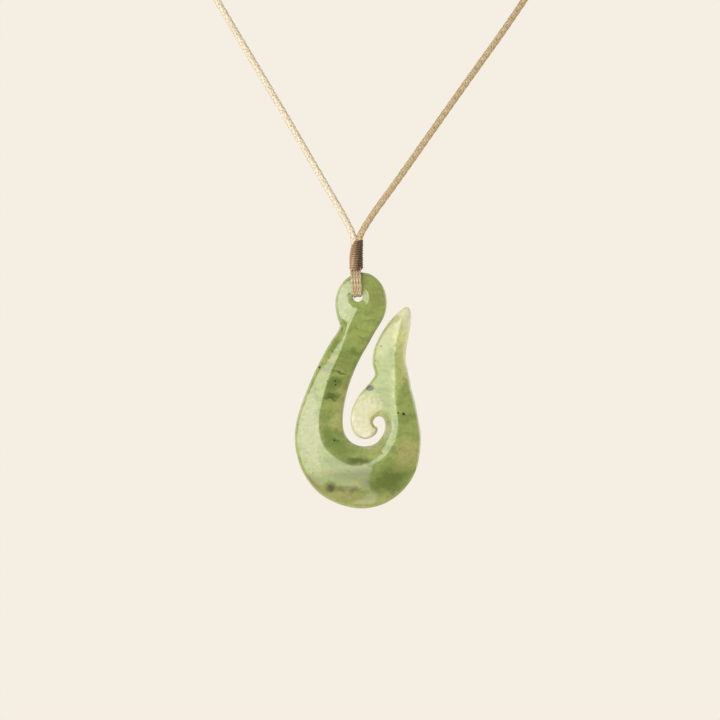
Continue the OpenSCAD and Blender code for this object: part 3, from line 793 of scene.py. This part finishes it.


# Nephrite, ground and then polished by hand: a soft gloss on faces that stay slightly wavy, light that
# scatters inside it, thin edges painted paler as painted light, and cloudy paler and darker greens. In mm
# from the hole's centre
stone = {
    "green": ("#808D4E", "#6C7B40"),
    "vein": "#8B8C55",
    # painted light: the pale colour painted on thin edges, and how much of it
    "edge": ("#BDBF98", 0.5),
    "drift": 4, "nudge": 0.8,  # how far noise bends the clouds, and the stains and specks
    "waves": 0.12,  # how deep the polish's waves look
    # each patch: x, z, half width, half height, turn in degrees, softness, colour, strength
    "clouds": [
        (-12, -33.5, 4.2, 15.5, 6, 0.7, "#8B9168", 0.9), (-4.2, -0.8, 3.6, 6.6, 0, 0.7, "#8B946B", 0.9),
        (-5, -11.2, 1.7, 3.2, -28, 0.8, "#626B38", 0.8), (1.3, -31, 6.6, 9, 0, 0.5, "#9E9D78", 1),
        (0.4, -33.3, 4.2, 4.8, 20, 0.8, "#A9A58A", 0.9), (-2.2, -29.6, 1.6, 5.4, 0, 0.8, "#B6B4A4", 0.9),
        (3.9, -30.3, 2.2, 3.6, 0, 0.9, "#92934F", 0.75), (7.5, -10.8, 7.4, 3.2, 52, 0.5, "#949869", 0.85),
        (11.3, -12, 2.2, 9.5, 3, 0.35, "#A5A872", 0.95), (12.2, -10.6, 1.9, 8, 3, 0.7, "#B8BA82", 0.95),
        (11.9, -4.7, 3.6, 4, 0, 0.5, "#BBBA9C", 0.95), (9.6, -6.6, 2.6, 2.8, 40, 0.8, "#9DA279", 0.85),
        (9.9, -19.5, 2.2, 9, -4, 0.8, "#9CA668", 0.75), (12.6, -38.3, 4.4, 4.6, 0, 0.8, "#8E8B58", 0.85),
        (11.2, -41.8, 3.4, 2.8, 0, 0.8, "#85854F", 0.85), (7.6, -46, 7.6, 3.9, 28, 0.7, "#4C5A26", 0.9),
        (-1.9, -44.6, 8.5, 3.3, 0, 0.8, "#5F693A", 0.75),
        (-1.9, -50.1, 10.5, 2.3, 0, 0.7, "#7E7F50", 0.85),
        (-11.4, -47, 5.5, 2.8, -42, 0.8, "#6F7044", 0.9), (2.1, 4.8, 4.4, 2.4, 0, 0.8, "#7F8A50", 0.85),
        (-0.9, -13.8, 3, 2.1, -30, 0.9, "#586A2F", 0.75), (-3.1, -17.2, 3, 0.9, -6, 0.9, "#79823F", 0.75),
        (-3.1, -21.6, 2.4, 2.4, 0, 0.9, "#787C43", 0.8),
        (-4.4, -18.9, 3.4, 0.42, -7, 0.9, "#3F5026", 0.9), (-5.6, -21, 2.4, 1.5, 0, 0.8, "#51612C", 0.8),
        (-6.4, -24.6, 2.7, 1.7, -22, 0.8, "#42501F", 0.9),
        (-6.9, -25.3, 2.4, 0.45, -32, 0.9, "#35421B", 0.8),
        (-5.4, -31, 3.4, 3.2, 0, 0.8, "#93965C", 0.85), (-7.9, -35.2, 3, 1.6, 70, 0.9, "#5D6E2E", 0.75),
        (-5.4, -37, 5.4, 2.6, -38, 0.8, "#61713A", 0.85), (0, -41.3, 6.4, 1.5, 2, 0.9, "#45522A", 0.9),
        (4.6, -37.9, 2.8, 1.1, 30, 0.9, "#8A8A5A", 0.6), (7.2, -33.6, 1.9, 3.6, -12, 0.8, "#909270", 0.9),
        (-5.6, -35.8, 2.2, 0.7, -15, 0.9, "#3E4D20", 0.8), (4.4, -1, 2.2, 6, -8, 0.9, "#767A44", 0.7),
        (-2.4, -47.9, 5.6, 1.2, 0, 0.8, "#5E5E38", 0.85), (2.4, -46.6, 2.4, 1.7, 0, 0.8, "#596337", 0.75),
        (9.6, -48.3, 2.8, 1.4, 40, 0.8, "#5A5F32", 0.8), (2.8, -35, 2.4, 1.5, 0, 0.8, "#BDB8A4", 0.85),
        (-6.7, -22.2, 1.8, 2.2, 0, 0.8, "#5C6A33", 0.8),
    ],
    "stains": [
        (-6.9, -47.7, 1.9, 1.6, 0, 0.8, "#47402F", 0.95), (-4.2, -47.4, 2.4, 0.7, 0, 0.9, "#5D5B36", 0.7),
        (0.9, -44, 1.2, 0.9, 0, 0.9, "#6B6955", 0.7), (3.1, -22.75, 1.35, 0.9, 0, 0.5, "#2E302B", 0.95),
        (-8.2, -18.2, 1.5, 0.8, 0, 0.9, "#6E6A57", 0.8), (-4, -8, 0.5, 0.9, 0, 0.9, "#43552A", 0.85),
        (-6.3, -13.6, 0.5, 1, 30, 0.9, "#4B5334", 0.8), (-7.2, -15.2, 0.5, 0.6, 20, 0.9, "#565E3E", 0.8),
        (-9.2, -20.5, 1.6, 0.7, 0, 0.9, "#737656", 0.6), (10.2, -50, 2.5, 1, 45, 0.9, "#4B4A2B", 0.6),
    ],
    # x, z and radius of each dark grain
    "specks": [
        (-5.75, -21, 0.34), (-5.6, -21.9, 0.28), (-7.5, -21, 0.22), (-5.4, -23.9, 0.2),
        (-9.6, -17.6, 0.48), (-4.1, -24.4, 0.16), (10.1, -29, 0.34), (11.5, -29.3, 0.52),
        (12.75, -27.3, 0.18), (-14.9, -31.9, 0.18), (8.9, -7.1, 0.2), (5.9, -12.3, 0.25),
        (4.4, -16, 0.25), (5.1, -16.1, 0.18), (-5.9, -35.9, 0.3), (2.3, -22.3, 0.22), (9, -48.3, 0.2),
        (-2.2, -43.6, 0.16), (-11.1, -44, 0.2),
    ],
    "speckColour": "#15190E",
}


def makeStone(s):
    material, tree, shader = newMaterial("polishedNephrite")
    add = partial(addNode, tree)
    place = add("ShaderNodeTexCoord")
    inMm = add("ShaderNodeMapping",
               {"Vector": place.outputs["Object"], "Location": tuple(-1000 * v for v in holeAt),
                "Scale": (1000, 1000, 1000)})
    # the pattern's place is in mm, and so are its scales: clouds about 3 mm across bend the pattern
    warp = add("ShaderNodeTexNoise", {"Vector": inMm, "Scale": 0.32, "Detail": 4, "Roughness": 0.6})
    centred = add("ShaderNodeVectorMath", {0: warp.outputs["Color"], 1: (0.5, 0.5, 0.5)},
                  operation="SUBTRACT")
    drift = add("ShaderNodeVectorMath", {0: centred, 1: [s["drift"]] * 3, 2: inMm},
                operation="MULTIPLY_ADD")
    nudge = add("ShaderNodeVectorMath", {0: centred, 1: [s["nudge"]] * 3, 2: inMm},
                operation="MULTIPLY_ADD")
    # felted fibres lie across the shank, drawn in bundles 8 mm long and 2 mm apart: single ones don't show
    fibreAt = add("ShaderNodeMapping", {"Vector": drift, "Scale": (0.12, 0.2, 0.5)})
    fibre = add("ShaderNodeTexNoise", {"Vector": fibreAt, "Scale": 1.0, "Detail": 6, "Roughness": 0.62})
    tone = eased(add, fibre.outputs["Fac"], (0.4, 0.6))
    colour = mixed(add, tone, linear(s["green"][0]), linear(s["green"][1]))
    veinAt = add("ShaderNodeMapping", {"Vector": drift, "Scale": (0.16, 0.2, 0.34)})
    vein = add("ShaderNodeTexNoise", {"Vector": veinAt, "Scale": 1.0, "Detail": 4, "Roughness": 0.55})
    paler = eased(add, vein.outputs["Fac"], (0.5, 0.68), (0, 0.8))
    colour = mixed(add, paler, colour, linear(s["vein"]))
    # cloudiness about 1 mm across breaks up the patches' rims
    fine = add("ShaderNodeTexNoise", {"Vector": inMm, "Scale": 1.1, "Detail": 5, "Roughness": 0.65})
    broken = add("ShaderNodeMapRange",
                 {"Value": fine.outputs["Fac"], "From Min": 0.3, "From Max": 0.7, "To Min": 0.55,
                  "To Max": 1.45})
    patches = [(drift, p) for p in s["clouds"]] + [(nudge, p) for p in s["stains"]]
    patches += [(nudge, (x, z, r, r, 0, 0.6, s["speckColour"], 0.95)) for x, z, r in s["specks"]]
    for coords, (x, z, wide, tall, turned, softness, shade, strength) in patches:
        local = add("ShaderNodeMapping",
                    {"Vector": coords, "Location": (x, 0, z), "Rotation": (0, -math.radians(turned), 0),
                     "Scale": (wide, 1e5, tall)}, vector_type="TEXTURE")
        ball = add("ShaderNodeTexGradient", {"Vector": local}, gradient_type="SPHERICAL")
        cloudy = maths(add, "MULTIPLY", ball.outputs["Fac"], broken)
        amount = eased(add, cloudy, (0, softness), (0, strength))
        colour = mixed(add, amount, colour, linear(shade))
    # painted light: thin edges are painted paler, standing in for light that comes through them
    edge = add("ShaderNodeAttribute", attribute_name="paintedEdgeLight")
    edgeLightAmount = maths(add, "MULTIPLY", edge.outputs["Fac"], s["edge"][1])
    colour = mixed(add, edgeLightAmount, colour, linear(s["edge"][0]))
    haze = add("ShaderNodeMapRange",
               {"Value": fine.outputs["Fac"], "From Min": 0.3, "From Max": 0.7, "To Min": 0.86,
                "To Max": 1.12})
    colour = add("ShaderNodeVectorMath", {0: colour, "Scale": haze}, operation="SCALE")
    # hand polishing leaves waves about 3 mm long
    wavy = add("ShaderNodeTexNoise", {"Vector": inMm, "Scale": 0.3, "Detail": 0})
    bump = add("ShaderNodeBump",
               {"Height": wavy.outputs["Fac"], "Strength": 0.6, "Distance": s["waves"] * mm})
    # nephrite's IOR is 1.61; a hand polish reflects less, like 1.5. Light scatters about 1.2 mm deep
    setInputs(tree, shader, {
        "Base Color": colour, "Normal": bump, "Roughness": 0.06, "IOR": 1.5,
        "Subsurface Weight": 0.5, "Subsurface Radius": (1.0, 1.1, 0.5), "Subsurface Scale": 1.2 * mm})
    return material

nephrite = makeStone(stone)
hookPiece = makeHook(hook, nephrite)
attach(hookPiece, "pendant")
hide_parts("hook")

# Light, floor and background. A light's azimuth is to the left of the camera, in degrees; sizes are in mm
studio = {
    "background": "#F5EEE3",
    "frontFill": 0.36, "rearFill": 0.9,
    "floor": {"height": -1200, "radius": 12000, "sides": 64, "colour": "#EFE8DA", "lift": 0.42},
    "lights": [
        {"name": "softbox", "azimuth": 25.3, "elevation": 1.4, "distance": 1200, "wide": 1795, "tall": 1240,
         "roll": -8, "radiance": 5.3, "colour": "#FFFDF8", "fading": True},
        {"name": "rimBox", "azimuth": -108, "elevation": 5, "distance": 1200, "wide": 1600, "tall": 1000,
         "roll": 0, "radiance": 1.9, "colour": "#FFF8EC", "fading": False},
    ],
}


def makeWorld(s):
    world = bpy.data.worlds.new("studio")
    scene.world = world
    world.use_nodes = True
    world.node_tree.nodes.clear()
    add = partial(addNode, world.node_tree)
    way = add("ShaderNodeTexCoord")
    parts = add("ShaderNodeSeparateXYZ", {0: way.outputs["Generated"]})
    level = eased(add, parts.outputs["Y"], (-0.1, 0.6), (s["frontFill"], s["rearFill"]))
    seen = add("ShaderNodeLightPath")
    strength = add("ShaderNodeMix", {0: seen.outputs["Is Camera Ray"], 2: level, 3: 1.0}, data_type="FLOAT")
    sky = add("ShaderNodeBackground", {"Color": linear(s["background"]), "Strength": strength})
    add("ShaderNodeOutputWorld", {"Surface": sky})


def makeLight(box):
    data = bpy.data.lights.new(box["name"], "AREA")
    data.shape = "RECTANGLE"
    data.size = box["wide"] * mm
    data.size_y = box["tall"] * mm
    data.energy = box["radiance"] * math.pi * data.size * data.size_y
    data.color = linear(box["colour"])[:3]
    light = addObject(box["name"], data)
    a, e = math.radians(box["azimuth"]), math.radians(box["elevation"])
    away = Vector((-math.sin(a) * math.cos(e), -math.cos(a) * math.cos(e), math.sin(e)))
    light.location = Vector(camera["aim"]) * mm + away * box["distance"] * mm
    turned = away.to_track_quat("Z", "Y") @ Quaternion((0, 0, 1), math.radians(box["roll"]))
    light.rotation_euler = turned.to_euler()
    light.visible_camera = False
    if box["fading"]:  # the cloth is dimmer towards its lower edge and towards the camera
        data.use_nodes = True
        tree = data.node_tree
        add = partial(addNode, tree)
        spot = add("ShaderNodeNewGeometry")
        sides = add("ShaderNodeSeparateXYZ", {0: spot.outputs["Parametric"]})
        lower = eased(add, sides.outputs["Y"], (0, 0.36), (0.55, 1))
        right = eased(add, sides.outputs["X"], (1.0, 0.7), (0.75, 1))
        both = maths(add, "MULTIPLY", lower, right)
        setInputs(tree, tree.nodes["Emission"], {"Strength": both})


def makeFloor(f, glowColour):
    # matt paint; lamps that don't reach the pendant lift its tone where the camera sees it
    material, tree, shader = newMaterial("paleFloor")
    seen = addNode(tree, "ShaderNodeLightPath")
    lift = addNode(tree, "ShaderNodeMath", {0: seen.outputs["Is Camera Ray"], 1: f["lift"]},
                   operation="MULTIPLY")
    setInputs(tree, shader,
              {"Base Color": linear(f["colour"]), "Roughness": 0.9, "Emission Color": linear(glowColour),
               "Emission Strength": lift})
    angles = [2 * math.pi * k / f["sides"] for k in range(f["sides"])]
    radius = f["radius"] * mm
    ring = [(radius * math.cos(a), radius * math.sin(a), f["height"] * mm) for a in angles]
    return meshObject("floor", ring, [tuple(range(f["sides"]))], material, smooth=False)


scene.view_settings.view_transform = "Standard"
makeWorld(studio)
for box in studio["lights"]:
    makeLight(box)
makeFloor(studio["floor"], studio["background"])
print("studio lit")
